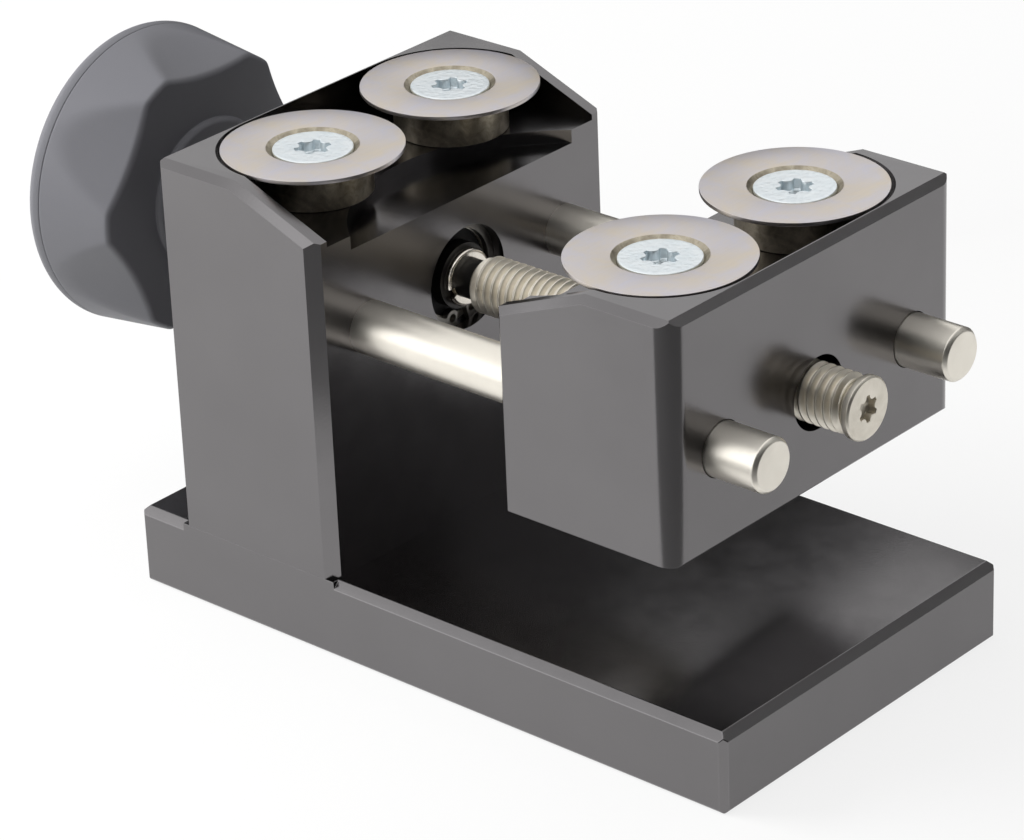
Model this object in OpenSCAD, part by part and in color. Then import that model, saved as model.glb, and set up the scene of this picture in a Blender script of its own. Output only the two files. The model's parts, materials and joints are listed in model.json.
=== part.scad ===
// Dial ring remover: a fixed jaw on a base plate, and a moving jaw on two guide rods.
// A lead screw with a star knob drives the moving jaw. Each jaw carries two steel discs
// whose thin rims go under the ring of a watch case.
// X runs along the spindle with the knob at the low end, Z is up, and the origin is at
// the centre of the base plate's underside.

/* [Base plate] */
// Length of the base plate along the spindle
base_l = 112.5; // [90:0.5:140]
// Width of the base plate and of the fixed jaw
base_w = 63.5; // [62:0.5:80]
// Thickness of the base plate
base_t = 12.5; // [10:0.5:16]
// Chamfer on the base plate's top edges
base_chamfer = 1.2; // [0.3:0.1:2]
// Chamfer on the base plate's bottom edges
base_foot_chamfer = 0.5; // [0.2:0.1:1]
// Chamfer on the base plate's upright corners
base_corner = 1.0; // [0.2:0.1:2]
// Distance from the base plate's back end to the fixed jaw
fixed_jaw_inset = 9.35; // [5:0.05:15]

/* [Jaws] */
// Thickness of each jaw along the spindle
jaw_t = 30.8; // [25:0.1:37]
// Height of the jaws' top above the surface the tool stands on
jaw_top_z = 71.5; // [69:0.1:86]
// Height of the moving jaw's underside
moving_jaw_z = 35.0; // [31:0.1:39]
// Width of the moving jaw
moving_jaw_w = 63.0; // [61:0.5:76]
// Gap between the two jaws as photographed
jaw_gap = 33.6; // [4:0.1:45]
// How far the top slopes down towards the gap
slant_drop = 6.05; // [4:0.05:6.6]
// Chamfer on the jaws' top edges
jaw_chamfer = 1.1; // [0.3:0.1:2]
// Chamfer on the fixed jaw's upright back edges
fixed_back_chamfer = 1.3; // [0.3:0.1:2.5]
// Chamfer on the fixed jaw's upright edges at the gap
fixed_gap_chamfer = 1.75; // [0.3:0.05:2.5]
// Chamfer on the moving jaw's upright edges at the gap
moving_gap_chamfer = 1.0; // [0.3:0.1:2]
// Radius on the moving jaw's upright front edges
moving_front_r = 3.0; // [1:0.1:5]
// Chamfer on the moving jaw's bottom edges
moving_foot_chamfer = 0.6; // [0.2:0.1:1]

/* [Disc pockets] */
// Depth of the disc pocket below the jaw's top
pocket_depth = 6.9; // [5:0.1:8.3]
// Gap round each disc's rim in the pocket
pocket_gap = 0.6; // [0.3:0.1:1.2]
// Depth of the middle relief below the jaw's top
relief_depth = 9.0; // [7:0.1:11]
// Radius of the middle relief's curved wall
relief_r = 30; // [28:0.5:34]
// Distance from the relief's centre to the jaw's face, out in the gap
relief_offset = 18; // [16:0.5:21]

/* [Discs] */
// Diameter of each disc's rim
disc_d = 26.8; // [22.3:0.1:28]
// Distance between the two discs of a jaw
disc_spread = 29.5; // [28.6:0.1:31]
// Distance from the jaw's face at the gap to the disc centres
disc_setback = 15.5; // [14:0.1:18]
// Diameter of the disc's hub
disc_hub_d = 17.2; // [14.4:0.1:20]
// Thickness of the disc's rim
disc_rim_t = 0.6; // [0.4:0.05:1.2]
// Thickness of the disc's flange where it meets the hub
disc_root_t = 2.0; // [1.4:0.1:3]
// How far the disc stands above the jaw's top
disc_proud = 0.05; // [0:0.01:0.5]
// Diameter of the countersink at the disc's top
disc_sink_d = 13.6; // [12.4:0.1:14]

/* [Disc screws] */
// Thread diameter of the disc screws
disc_screw_d = 6; // [5:0.1:7.2]
// Head diameter of the disc screws
disc_screw_head_d = 11.8; // [9.8:0.1:12.2]
// How far the screw heads lie below the disc's top
disc_screw_sink = 0.27; // [0.1:0.01:0.3]
// Overall length of the disc screws
disc_screw_l = 16; // [13:0.5:16]
// Width of the six-lobed recess over its lobes
disc_screw_recess = 5.6; // [4:0.1:6.4]
// Depth of the six-lobed recess
disc_screw_recess_depth = 2.2; // [1:0.1:3]

/* [Guide rods] */
// Diameter of the guide rods
rod_d = 8; // [6.7:0.1:9.6]
// How far the guide rods stand out of the moving jaw
rod_beyond = 8.8; // [4:0.1:20]
// Wall left behind the rods' seats in the fixed jaw
rod_back_wall = 4.0; // [2:0.1:10]
// Distance between the guide rods
rod_spread = 42.5; // [40:0.1:45]
// Height of the rods and the spindle above the base plate's underside
spindle_z = 49.5; // [47:0.1:54]
// Chamfer on the rods' ends
rod_chamfer = 0.5; // [0.2:0.1:1]

/* [Guide bushes] */
// Wall of the rod bushes in the moving jaw
rod_bush_wall = 1; // [0.8:0.1:1.2]
// Length of each rod bush
rod_bush_l = 8; // [6:0.5:9.6]
// How far the rod bushes lie inside the jaw's faces
rod_bush_inset = 3; // [2:0.1:3.6]
// Radial clearance of the rods in the jaw's front wall
rod_wall_gap = 0.15; // [0.1:0.01:0.3]

/* [Lead screw] */
// Outer diameter of the lead screw's thread
thread_d = 8.8; // [7.4:0.1:9.8]
// How far the thread stands out of the moving jaw
thread_beyond = 6.2; // [4:0.1:18]
// Distance from the fixed jaw's face to the start of the thread
thread_start = 3.6; // [2.4:0.1:4.4]
// Chamfer on the thread's ends
thread_chamfer = 0.7; // [0.3:0.1:1.2]
// Diameter of the plain shaft behind the thread
shaft_d = 6; // [5.8:0.1:7.2]
// Length of the neck between the thread and the end screw's head
end_neck_l = 1.0; // [0.8:0.1:1.2]
// Diameter of that neck
end_neck_d = 6.6; // [5.5:0.1:7.2]

/* [End screw] */
// Head diameter of the end screw
end_screw_head_d = 9.4; // [7.9:0.1:10.4]
// Head height of the end screw
end_screw_head_t = 1.3; // [1.1:0.1:1.6]
// Thread diameter of the end screw
end_screw_d = 4; // [3.4:0.1:4.8]
// Length of the end screw under its head
end_screw_l = 10; // [8:0.5:12]
// Width of its six-lobed recess over the lobes
end_screw_recess = 3.4; // [2.8:0.1:4]
// Depth of its six-lobed recess
end_screw_recess_depth = 1.0; // [0.8:0.1:1.1]

/* [Lead nut] */
// Diameter of the lead nut
nut_d = 14; // [12.4:0.1:16.8]
// Length of the lead nut
nut_l = 16; // [13.4:0.1:18]
// Depth of the nut behind the moving jaw's face at the gap
nut_inset = 5; // [4:0.1:6]
// Diameter of the hole for the spindle in the moving jaw's front
front_hole_d = 11; // [10:0.1:13.2]

/* [Bearing] */
// Outer diameter of the bearing
bearing_d = 16; // [15:0.1:19.2]
// Width of the bearing
bearing_w = 5; // [4.2:0.1:6]
// Depth of the bearing behind the fixed jaw's face
bearing_inset = 3.0; // [2.6:0.1:3.6]
// Depth of the balls' tracks in the bearing's rings
track_depth = 0.2; // [0.1:0.05:0.4]
// Diameter of the bearing balls
ball_d = 2.8; // [2.5:0.1:2.9]
// Number of balls
ball_count = 8; // [6:1:8]
// Thickness of the bearing's seals
seal_t = 0.4; // [0.3:0.1:0.5]
// Diameter of the spacer and the sleeve on the shaft
sleeve_d = 10; // [9:0.1:12]
// Thickness of the internal circlip
bearing_clip_t = 1.0; // [0.8:0.1:1.2]
// Radial width of the internal circlip
bearing_clip_w = 1.5; // [1.2:0.1:1.8]
// Thickness of the circlip on the spindle
spindle_clip_t = 0.7; // [0.6:0.1:0.8]
// Outer diameter of the circlip on the spindle
spindle_clip_d = 8.3; // [7.8:0.1:9.6]
// Depth of both circlip grooves
clip_groove = 0.35; // [0.2:0.05:0.5]
// Diameter of the bore behind the bearing
shoulder_bore_d = 11.4; // [11:0.1:13]
// Wall of the rear bush
rear_bush_wall = 2; // [1.6:0.1:2.4]
// Length of the rear bush
rear_bush_l = 8; // [6:0.5:9.6]

/* [Knob] */
// Gap between the fixed jaw's back and the knob's boss
knob_gap = 20.8; // [17.4:0.1:25]
// Height of the knob without its boss
knob_h = 16.5; // [15.5:0.1:19.8]
// Height of the knob's boss
knob_boss_h = 1.0; // [0.8:0.1:1.2]
// Diameter of the knob's boss
knob_boss_d = 24; // [20:0.1:28.8]
// Chamfer on the boss
knob_boss_chamfer = 0.6; // [0.3:0.1:0.7]
// Diameter over the lobes at the knob's inner face
knob_inner_d = 44; // [41:0.1:47]
// Largest diameter of the knob, near its outer rim
knob_rim_d = 47.3; // [45:0.1:56]
// Radius of the rounding at the knob's outer rim
knob_rim_r = 2; // [1.6:0.1:2.4]
// Number of lobes
lobe_count = 6; // [5:1:7]
// Radius of the shallow flutes between the lobes
flute_r = 42; // [35:0.5:50]
// Radius at the bottom of the flutes at the knob's inner face
flute_floor_r = 19.1; // [17:0.1:20]
// Length of the flutes along the knob
flute_l = 11.8; // [10:0.1:12.8]
// Turn of the first flute from straight up
flute_turn = 3.8; // [0:0.1:59]
// Thickness of the cap that closes the knob's back
knob_cap_t = 3; // [2.5:0.1:3.6]
// Diameter of the cap's spigot
cap_spigot_d = 30; // [25:0.1:36]
// Length of the cap's spigot
cap_spigot_l = 2; // [1.6:0.1:2.2]
// Diameter of the knob's bush
knob_bush_d = 12; // [10.4:0.1:14.4]
// Length of the knob's bush
knob_bush_l = 8; // [7:0.1:9]
// Depth of the flat on the shaft inside the knob's bush
drive_flat = 0.5; // [0.3:0.1:0.7]
// Head diameter of the knob's screw
knob_screw_head_d = 7; // [6:0.1:8.4]
// Head height of the knob's screw
knob_screw_head_h = 3.2; // [2.6:0.1:3.6]

/* [Base fasteners] */
// Thread diameter of the base screws
base_screw_d = 6; // [5:0.1:7.2]
// Head diameter of the base screws
base_screw_head_d = 10; // [8.4:0.1:12]
// Head height of the base screws
base_screw_head_h = 6; // [5:0.1:7.2]
// Length of the base screws under the head
base_screw_l = 20; // [16.8:0.2:24]
// How far the base screws' heads lie inside the underside
base_screw_sink = 0.6; // [0.4:0.1:1]
// Distance between the two rows of base screws along the spindle
base_screw_pitch = 19; // [15.9:0.1:19.6]
// Diameter of the dowels
dowel_d = 5; // [4.2:0.1:6]
// Length of the dowels
dowel_l = 16; // [13.4:0.1:19]
// Distance between the two dowels
dowel_spread = 20; // [16.7:0.1:24]
// Thread diameter of the grub screws
grub_d = 4; // [3.4:0.1:4.8]
// Length of the grub screws
grub_l = 6; // [5:0.1:7.2]
// Width across flats of the hexagon sockets in the grub screws
grub_socket = 2; // [1.5:0.1:2.4]

/* [Clearances] */
// Radial running clearance of bushes, nut and rods
run_gap = 0.04; // [0.02:0.01:0.08]
// Radial clearance of screws in their through holes
screw_gap = 0.3; // [0.2:0.05:0.5]
// Radial clearance of screw heads in their counterbores
head_gap = 0.5; // [0.3:0.1:0.8]
// Clearance between the bearing's turning and standing parts
bearing_gap = 0.05; // [0.03:0.01:0.08]
// Radial clearance of the sleeve, the spacer and the knob's bush on the shaft
slip_gap = 0.03; // [0.01:0.01:0.06]

/* [Hidden] */
$fn = 96;

// Overshoot of every cutter past the face it opens
over = 1;

// Stations along the spindle
fixed_back_x = -base_l / 2 + fixed_jaw_inset;
fixed_gap_x = fixed_back_x + jaw_t;
moving_gap_x = fixed_gap_x + jaw_gap;
moving_front_x = moving_gap_x + jaw_t;
fixed_mid_x = fixed_back_x + jaw_t / 2;
rod_start_x = fixed_back_x + rod_back_wall;
rod_end_x = moving_front_x + rod_beyond;
bearing_front_x = fixed_gap_x - bearing_inset;
bearing_rear_x = bearing_front_x - bearing_w;
bearing_mid_x = bearing_front_x - bearing_w / 2;
thread_start_x = fixed_gap_x + thread_start;
thread_end_x = moving_front_x + thread_beyond;
thread_l = thread_end_x - thread_start_x;
spindle_end_x = thread_end_x + end_neck_l;
knob_boss_x = fixed_back_x - knob_gap;
knob_face_x = knob_boss_x - knob_boss_h;
knob_seam_x = knob_face_x - knob_h + knob_cap_t;
knob_bush_end_x = knob_boss_x - knob_bush_l;

// The shaft ends a little inside the knob's bush, so the knob's screw clamps the bush
shaft_short = 0.5;
shaft_end_x = knob_bush_end_x + shaft_short;
// The spindle's circlip lies just inside the jaw's face
spindle_clip_inset = 0.2;
spindle_clip_front_x = fixed_gap_x - spindle_clip_inset;
spindle_clip_rear_x = spindle_clip_front_x - spindle_clip_t;
// Play of a circlip in its groove
clip_play = 0.08;

// Levels and radii that several pieces share
pocket_z = jaw_top_z - pocket_depth;
relief_z = jaw_top_z - relief_depth;
disc_top_z = jaw_top_z + disc_proud;
disc_r = disc_d / 2;
pocket_r = disc_r + pocket_gap;
disc_y = disc_spread / 2;
rod_r = rod_d / 2;
rod_y = rod_spread / 2;
rod_bush_r = rod_r + rod_bush_wall;
rear_bush_r = sleeve_d / 2 + rear_bush_wall;
bearing_r = bearing_d / 2;
race_r = (shaft_d / 2 + bearing_r) / 2;
ball_r = ball_d / 2;
ring_t = race_r - shaft_d / 2 - ball_r + track_depth;
inner_ring_r = shaft_d / 2 + ring_t;
outer_ring_r = bearing_r - ring_t;
bearing_bevel = 0.3;
disc_head_land = (disc_sink_d - disc_screw_head_d) / 2 - disc_screw_sink;
disc_screw_top_z = disc_top_z - disc_screw_sink;
disc_screw_tip_z = disc_screw_top_z - disc_screw_l;
grub_hex_r = grub_socket / 2 / cos(30);
grub_socket_depth = grub_l / 3;
cap_hex_share = 0.58;
knob_bush_in_r = shaft_d / 2 + slip_gap;
knob_screw_d = end_screw_d;
knob_screw_l = 10;
base_screw_seat_z = base_screw_sink + base_screw_head_h;
dowel_z = base_t / 2 - 1;
rod_grub_x = (rod_start_x + fixed_gap_x) / 2;
nut_mid_x = moving_gap_x + nut_inset + nut_l / 2;

black = "#3b3b3d";
steel = "#c9c9c6";
ground_steel = "#d8d6d1";
zinc = "#e3e8ea";
bronze = "#b08a4e";
dark = "#232325";

// Places what is drawn along Z so that it runs along +X from x, on a line at y and z
module along_x(x, y = 0, z = spindle_z) {
    translate([x, y, z])
        rotate([0, 90, 0])
            children();
}

// A round rod along +X, from x0 to x1
module bar_x(x0, x1, r, y = 0) {
    along_x(x0, y)
        cylinder(r = r, h = x1 - x0);
}

// A ring along +X, from x0 to x1
module ring_x(x0, x1, outer, inner, y = 0) {
    difference() {
        bar_x(x0, x1, outer, y);
        bar_x(x0 - over, x1 + over, inner, y);
    }
}

// A rod with a chamfer at its two ends, standing on Z
module chamfered_rod(r, h, chamfer) {
    rotate_extrude()
        polygon([
            [0, 0], [r - chamfer, 0], [r, chamfer],
            [r, h - chamfer], [r - chamfer, h], [0, h],
        ]);
}

// Outline of a six-lobed driver recess of a given width over its lobes
module lobed_outline(width) {
    valley = 0.36 * width;
    notch = 0.17 * width;
    difference() {
        circle(d = width);
        for (turn = [30 : 60 : 330])
            rotate(turn)
                translate([valley + notch, 0])
                    circle(r = notch, $fn = 32);
    }
}

// A socket set screw, standing on Z with its point up
module grub_screw() {
    difference() {
        cylinder(d = grub_d, h = grub_l);
        translate([0, 0, -over])
            cylinder(r = grub_hex_r, h = grub_socket_depth + over, $fn = 6);
    }
}

// A socket cap screw with its head's top at z = 0 and its thread pointing up
module cap_screw(d, length, head_d, head_h) {
    socket_r = cap_hex_share * d;
    difference() {
        union() {
            cylinder(d = head_d, h = head_h);
            cylinder(d = d, h = head_h + length);
        }
        translate([0, 0, -over])
            cylinder(r = socket_r, h = head_h / 2 + over, $fn = 6);
    }
}

// A square bar along X whose lower corner cuts a chamfer off an edge at y, z
module edge_cut_x(length, size) {
    rotate([45, 0, 0])
        cube([length, size * sqrt(2), size * sqrt(2)], center = true);
}

module base_plate() {
    half_l = base_l / 2;
    half_w = base_w / 2;
    back_l = fixed_back_x + half_l;
    front_l = half_l - fixed_gap_x;
    color(black)
    difference() {
        intersection() {
            // Plan with chamfered corners
            linear_extrude(base_t)
                polygon([
                    [-half_l + base_corner, -half_w], [half_l - base_corner, -half_w],
                    [half_l, -half_w + base_corner], [half_l, half_w - base_corner],
                    [half_l - base_corner, half_w], [-half_l + base_corner, half_w],
                    [-half_l, half_w - base_corner], [-half_l, -half_w + base_corner],
                ]);
            // Side view with chamfered ends
            translate([0, half_w + over, 0])
                rotate([90, 0, 0])
                    linear_extrude(base_w + 2 * over)
                        polygon([
                            [-half_l + base_foot_chamfer, 0], [half_l - base_foot_chamfer, 0],
                            [half_l, base_foot_chamfer], [half_l, base_t - base_chamfer],
                            [half_l - base_chamfer, base_t], [-half_l + base_chamfer, base_t],
                            [-half_l, base_t - base_chamfer], [-half_l, base_foot_chamfer],
                        ]);
        }
        for (side = [-1, 1]) {
            // The long top chamfers stop at the fixed jaw, which is as wide as the plate
            translate([-half_l + back_l / 2 - over, side * half_w, base_t])
                edge_cut_x(back_l + 2 * over, base_chamfer);
            translate([half_l - front_l / 2 + over, side * half_w, base_t])
                edge_cut_x(front_l + 2 * over, base_chamfer);
            translate([0, side * half_w, 0])
                edge_cut_x(base_l + 2 * over, base_foot_chamfer);
        }
        at_base_screws() {
            translate([0, 0, -over])
                cylinder(r = base_screw_head_d / 2 + head_gap, h = base_screw_seat_z + over);
            cylinder(r = base_screw_d / 2 + screw_gap, h = base_t + over);
        }
        at_dowels()
            translate([0, 0, dowel_z])
                cylinder(d = dowel_d, h = base_t);
    }
}

// Repeats its children at the four base screws
module at_base_screws() {
    for (end = [-1, 1], side = [-1, 1])
        translate([fixed_mid_x + end * base_screw_pitch / 2, side * rod_y, 0])
            children();
}

// Repeats its children at the two dowels
module at_dowels() {
    for (side = [-1, 1])
        translate([fixed_mid_x, side * dowel_spread / 2, 0])
            children();
}

module base_screws() {
    color(steel)
    at_base_screws()
        translate([0, 0, base_screw_sink])
            cap_screw(base_screw_d, base_screw_l, base_screw_head_d, base_screw_head_h);
}

module base_dowels() {
    color(steel)
    at_dowels()
        translate([0, 0, dowel_z])
            cylinder(d = dowel_d, h = dowel_l);
}

// The jaws are drawn with their gap face at x = 0 and their body towards +X.
// Side view of a jaw from a level z0, with the slope and the far top chamfer
module jaw_side(width, z0, foot) {
    translate([0, width / 2 + over, 0])
        rotate([90, 0, 0])
            linear_extrude(width + 2 * over)
                polygon([
                    [foot, z0], [0, z0 + foot], [0, jaw_top_z - slant_drop],
                    [disc_setback, jaw_top_z], [jaw_t - jaw_chamfer, jaw_top_z],
                    [jaw_t, jaw_top_z - jaw_chamfer], [jaw_t, z0 + foot], [jaw_t - foot, z0],
                ]);
}

// Chamfers along a jaw's two side edges, flat part and slope
module jaw_side_chamfers(width) {
    slope = atan2(slant_drop, disc_setback);
    for (side = [-1, 1])
        translate([disc_setback, side * width / 2, jaw_top_z]) {
            translate([jaw_t / 2, 0, 0])
                edge_cut_x(jaw_t, jaw_chamfer);
            rotate([0, -slope, 0])
                translate([-jaw_t / 2, 0, 0])
                    edge_cut_x(jaw_t, jaw_chamfer);
        }
}

// Pocket for the two discs, open to the gap, and the deeper relief in its middle
module jaw_pocket() {
    translate([0, 0, pocket_z])
        linear_extrude(pocket_depth + over)
            union() {
                for (side = [-1, 1])
                    translate([disc_setback, side * disc_y])
                        circle(r = pocket_r);
                translate([-over, -disc_y - pocket_r])
                    square([disc_setback + over, 2 * (disc_y + pocket_r)]);
                translate([disc_setback - over, -disc_y])
                    square([pocket_r + over, disc_spread]);
            }
    translate([-relief_offset, 0, relief_z])
        cylinder(r = relief_r, h = relief_depth + over);
}

// Threaded holes for the two disc screws
module jaw_disc_holes() {
    for (side = [-1, 1])
        translate([disc_setback, side * disc_y, disc_screw_tip_z])
            cylinder(d = disc_screw_d, h = disc_screw_l);
}

module fixed_jaw() {
    half_w = base_w / 2;
    color(black)
    difference() {
        translate([fixed_gap_x, 0, 0])
            mirror([1, 0, 0])
                difference() {
                    intersection() {
                        jaw_side(base_w, base_t, 0);
                        linear_extrude(jaw_top_z + over)
                            polygon([
                                [fixed_gap_chamfer, -half_w], [jaw_t - fixed_back_chamfer, -half_w],
                                [jaw_t, -half_w + fixed_back_chamfer],
                                [jaw_t, half_w - fixed_back_chamfer],
                                [jaw_t - fixed_back_chamfer, half_w], [fixed_gap_chamfer, half_w],
                                [0, half_w - fixed_gap_chamfer], [0, -half_w + fixed_gap_chamfer],
                            ]);
                    }
                    jaw_side_chamfers(base_w);
                    jaw_pocket();
                    jaw_disc_holes();
                }
        for (side = [-1, 1]) {
            bar_x(rod_start_x, fixed_gap_x + over, rod_r, side * rod_y);
            translate([rod_grub_x, side * rod_y, base_t - over])
                cylinder(d = grub_d, h = spindle_z - base_t + over);
        }
        bar_x(bearing_rear_x, fixed_gap_x + over, bearing_r);
        bar_x(bearing_front_x, bearing_front_x + bearing_clip_t + clip_play, bearing_r + clip_groove);
        bar_x(fixed_back_x, bearing_rear_x + over, shoulder_bore_d / 2);
        bar_x(fixed_back_x - over, fixed_back_x + rear_bush_l, rear_bush_r);
        at_base_screws()
            translate([0, 0, base_t - over])
                cylinder(d = base_screw_d, h = base_screw_seat_z + base_screw_l - base_t + over);
        at_dowels()
            translate([0, 0, base_t - over])
                cylinder(d = dowel_d, h = dowel_z + dowel_l - base_t + over);
    }
}

module guide_rod(side) {
    color(steel)
    along_x(rod_start_x, side * rod_y)
        chamfered_rod(rod_r, rod_end_x - rod_start_x, rod_chamfer);
}

module rod_grub_screws() {
    color(dark)
    for (side = [-1, 1])
        translate([rod_grub_x, side * rod_y, spindle_z - rod_r - grub_l])
            grub_screw();
}

// Track that the balls leave in a bearing ring
module ball_track() {
    along_x(bearing_mid_x)
        rotate_extrude()
            translate([race_r, 0])
                circle(r = ball_r + bearing_gap, $fn = 48);
}

module bearing_outer_ring() {
    color(steel)
    difference() {
        along_x(bearing_rear_x)
            chamfered_rod(bearing_r, bearing_w, bearing_bevel);
        bar_x(bearing_rear_x - over, bearing_front_x + over, outer_ring_r);
        ball_track();
    }
}

module bearing_inner_ring() {
    color(steel)
    difference() {
        ring_x(bearing_rear_x, bearing_front_x, inner_ring_r, shaft_d / 2);
        ball_track();
    }
}

// Repeats its children at the middle of each ball
module at_balls() {
    for (k = [0 : ball_count - 1])
        along_x(bearing_mid_x)
            rotate(k * 360 / ball_count)
                translate([race_r, 0, 0])
                    children();
}

module bearing_balls() {
    color(steel)
    at_balls()
        sphere(r = ball_r, $fn = 48);
}

module bearing_cage() {
    cage_w = ball_d + 0.5;
    cage_t = 0.6;
    color(bronze)
    difference() {
        ring_x(
            bearing_mid_x - cage_w / 2, bearing_mid_x + cage_w / 2,
            race_r + cage_t / 2, race_r - cage_t / 2
        );
        // Round pockets across the ring
        at_balls()
            rotate([0, 90, 0])
                cylinder(r = ball_r + bearing_gap, h = 4 * cage_t, center = true, $fn = 48);
    }
}

module bearing_seals() {
    color(dark)
    for (x = [bearing_rear_x + bearing_bevel, bearing_front_x - bearing_bevel - seal_t])
        ring_x(x, x + seal_t, outer_ring_r, inner_ring_r + bearing_gap);
}

// Internal circlip with its two ears at the bottom, drawn across X
module bearing_circlip() {
    outer = bearing_r + clip_groove;
    inner = outer - bearing_clip_w;
    ear_r = 1.3;
    ear_turn = 18;
    ear_mid = 5;
    mouth = 9;
    color(dark)
    along_x(bearing_front_x)
        linear_extrude(bearing_clip_t)
            difference() {
                union() {
                    circle(r = outer);
                    for (turn = [ear_mid - ear_turn, ear_mid + ear_turn])
                        rotate(turn)
                            translate([inner, 0])
                                circle(r = ear_r, $fn = 32);
                }
                difference() {
                    circle(r = inner);
                    for (turn = [ear_mid - ear_turn, ear_mid + ear_turn])
                        rotate(turn)
                            translate([inner, 0])
                                circle(r = ear_r, $fn = 32);
                }
                polygon([
                    [0, 0],
                    [2 * outer * cos(ear_mid - mouth), 2 * outer * sin(ear_mid - mouth)],
                    [2 * outer * cos(ear_mid + mouth), 2 * outer * sin(ear_mid + mouth)],
                ]);
                for (turn = [ear_mid - ear_turn, ear_mid + ear_turn])
                    rotate(turn)
                        translate([inner, 0])
                            circle(r = ear_r / 2, $fn = 32);
            }
}

module bearing_spacer() {
    color(steel)
    ring_x(bearing_front_x, spindle_clip_rear_x, sleeve_d / 2, shaft_d / 2 + slip_gap);
}

module spindle_circlip() {
    inner = shaft_d / 2 - clip_groove;
    mouth = 14;
    mouth_turn = 40;
    color(ground_steel)
    difference() {
        ring_x(spindle_clip_rear_x, spindle_clip_front_x, spindle_clip_d / 2, inner);
        along_x(spindle_clip_rear_x - over)
            linear_extrude(spindle_clip_t + 2 * over)
                polygon([
                    [0, 0],
                    [spindle_clip_d * cos(mouth_turn - mouth), spindle_clip_d * sin(mouth_turn - mouth)],
                    [spindle_clip_d * cos(mouth_turn + mouth), spindle_clip_d * sin(mouth_turn + mouth)],
                ]);
    }
}

module rear_bush() {
    color(bronze)
    ring_x(fixed_back_x, fixed_back_x + rear_bush_l, rear_bush_r, sleeve_d / 2 + run_gap);
}

module lead_screw() {
    flat_z = shaft_d / 2 - drive_flat;
    color(steel)
    difference() {
        union() {
            bar_x(shaft_end_x, thread_start_x + thread_l / 2, shaft_d / 2);
            along_x(thread_start_x)
                chamfered_rod(thread_d / 2, thread_l, thread_chamfer);
            bar_x(thread_end_x - over, spindle_end_x, end_neck_d / 2);
        }
        // Groove of the circlip
        ring_x(
            spindle_clip_rear_x, spindle_clip_front_x + clip_play,
            shaft_d, shaft_d / 2 - clip_groove
        );
        // Flat that the knob's bush drives
        translate([shaft_end_x - over, -shaft_d, spindle_z + flat_z])
            cube([knob_boss_x - shaft_end_x + over, 2 * shaft_d, shaft_d]);
        // Threaded holes in both ends
        bar_x(spindle_end_x - end_screw_l, spindle_end_x + over, end_screw_d / 2);
        bar_x(shaft_end_x - over, knob_bush_end_x + knob_screw_l, knob_screw_d / 2);
    }
}

module end_screw() {
    head_bevel = 0.25;
    head_end_x = spindle_end_x + end_screw_head_t;
    color(ground_steel)
    difference() {
        union() {
            along_x(spindle_end_x)
                chamfered_rod(end_screw_head_d / 2, end_screw_head_t, head_bevel);
            bar_x(spindle_end_x - end_screw_l, spindle_end_x + over, end_screw_d / 2);
        }
        along_x(head_end_x - end_screw_recess_depth)
            linear_extrude(end_screw_recess_depth + over)
                lobed_outline(end_screw_recess);
    }
}

module distance_sleeve() {
    color(dark)
    ring_x(knob_boss_x, bearing_rear_x, sleeve_d / 2, shaft_d / 2 + slip_gap);
}

// Draws along -X from the knob's inner face, with the first direction pointing up
module on_knob() {
    translate([knob_face_x, 0, spindle_z])
        rotate([0, -90, 0])
            children();
}

// Radius of the knob's cone at a height above its inner face
function knob_cone_r(h) =
    (knob_inner_d + (knob_rim_d - knob_inner_d) * h / (knob_h - knob_rim_r)) / 2;

module knob() {
    body_h = knob_h - knob_cap_t;
    pocket_head_r = knob_screw_head_d / 2 + head_gap;
    // Each flute rises from its floor at the inner face and runs out in the cone
    flute_lean = atan2(knob_cone_r(flute_l) - flute_floor_r, flute_l);
    color(black)
    difference() {
        on_knob()
            rotate_extrude()
                polygon([
                    [0, -knob_boss_h], [knob_boss_d / 2 - knob_boss_chamfer, -knob_boss_h],
                    [knob_boss_d / 2, knob_boss_chamfer - knob_boss_h], [knob_boss_d / 2, 0],
                    [knob_cone_r(0), 0], [knob_cone_r(body_h), body_h], [0, body_h],
                ]);
        on_knob()
            for (k = [0 : lobe_count - 1])
                rotate(flute_turn + k * 360 / lobe_count)
                    translate([flute_floor_r, 0, 0])
                        rotate([0, flute_lean, 0])
                            translate([flute_r, 0, -2 * knob_h])
                                cylinder(r = flute_r, h = 4 * knob_h);
        bar_x(knob_bush_end_x, knob_boss_x + over, knob_bush_d / 2);
        bar_x(knob_seam_x - over, knob_bush_end_x + over, pocket_head_r);
        bar_x(knob_seam_x - over, knob_seam_x + cap_spigot_l, cap_spigot_d / 2);
    }
}

module knob_bush() {
    flat_z = shaft_d / 2 - drive_flat + slip_gap;
    color(bronze)
    union() {
        ring_x(knob_bush_end_x, knob_boss_x, knob_bush_d / 2, knob_bush_in_r);
        // The flat in the bore
        intersection() {
            bar_x(shaft_end_x, knob_boss_x, knob_bush_in_r + drive_flat);
            translate([shaft_end_x, -shaft_d, spindle_z + flat_z])
                cube([knob_boss_x - shaft_end_x, 2 * shaft_d, shaft_d]);
        }
    }
}

module knob_screw() {
    color(steel)
    along_x(knob_bush_end_x - knob_screw_head_h)
        cap_screw(knob_screw_d, knob_screw_l, knob_screw_head_d, knob_screw_head_h);
}

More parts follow.
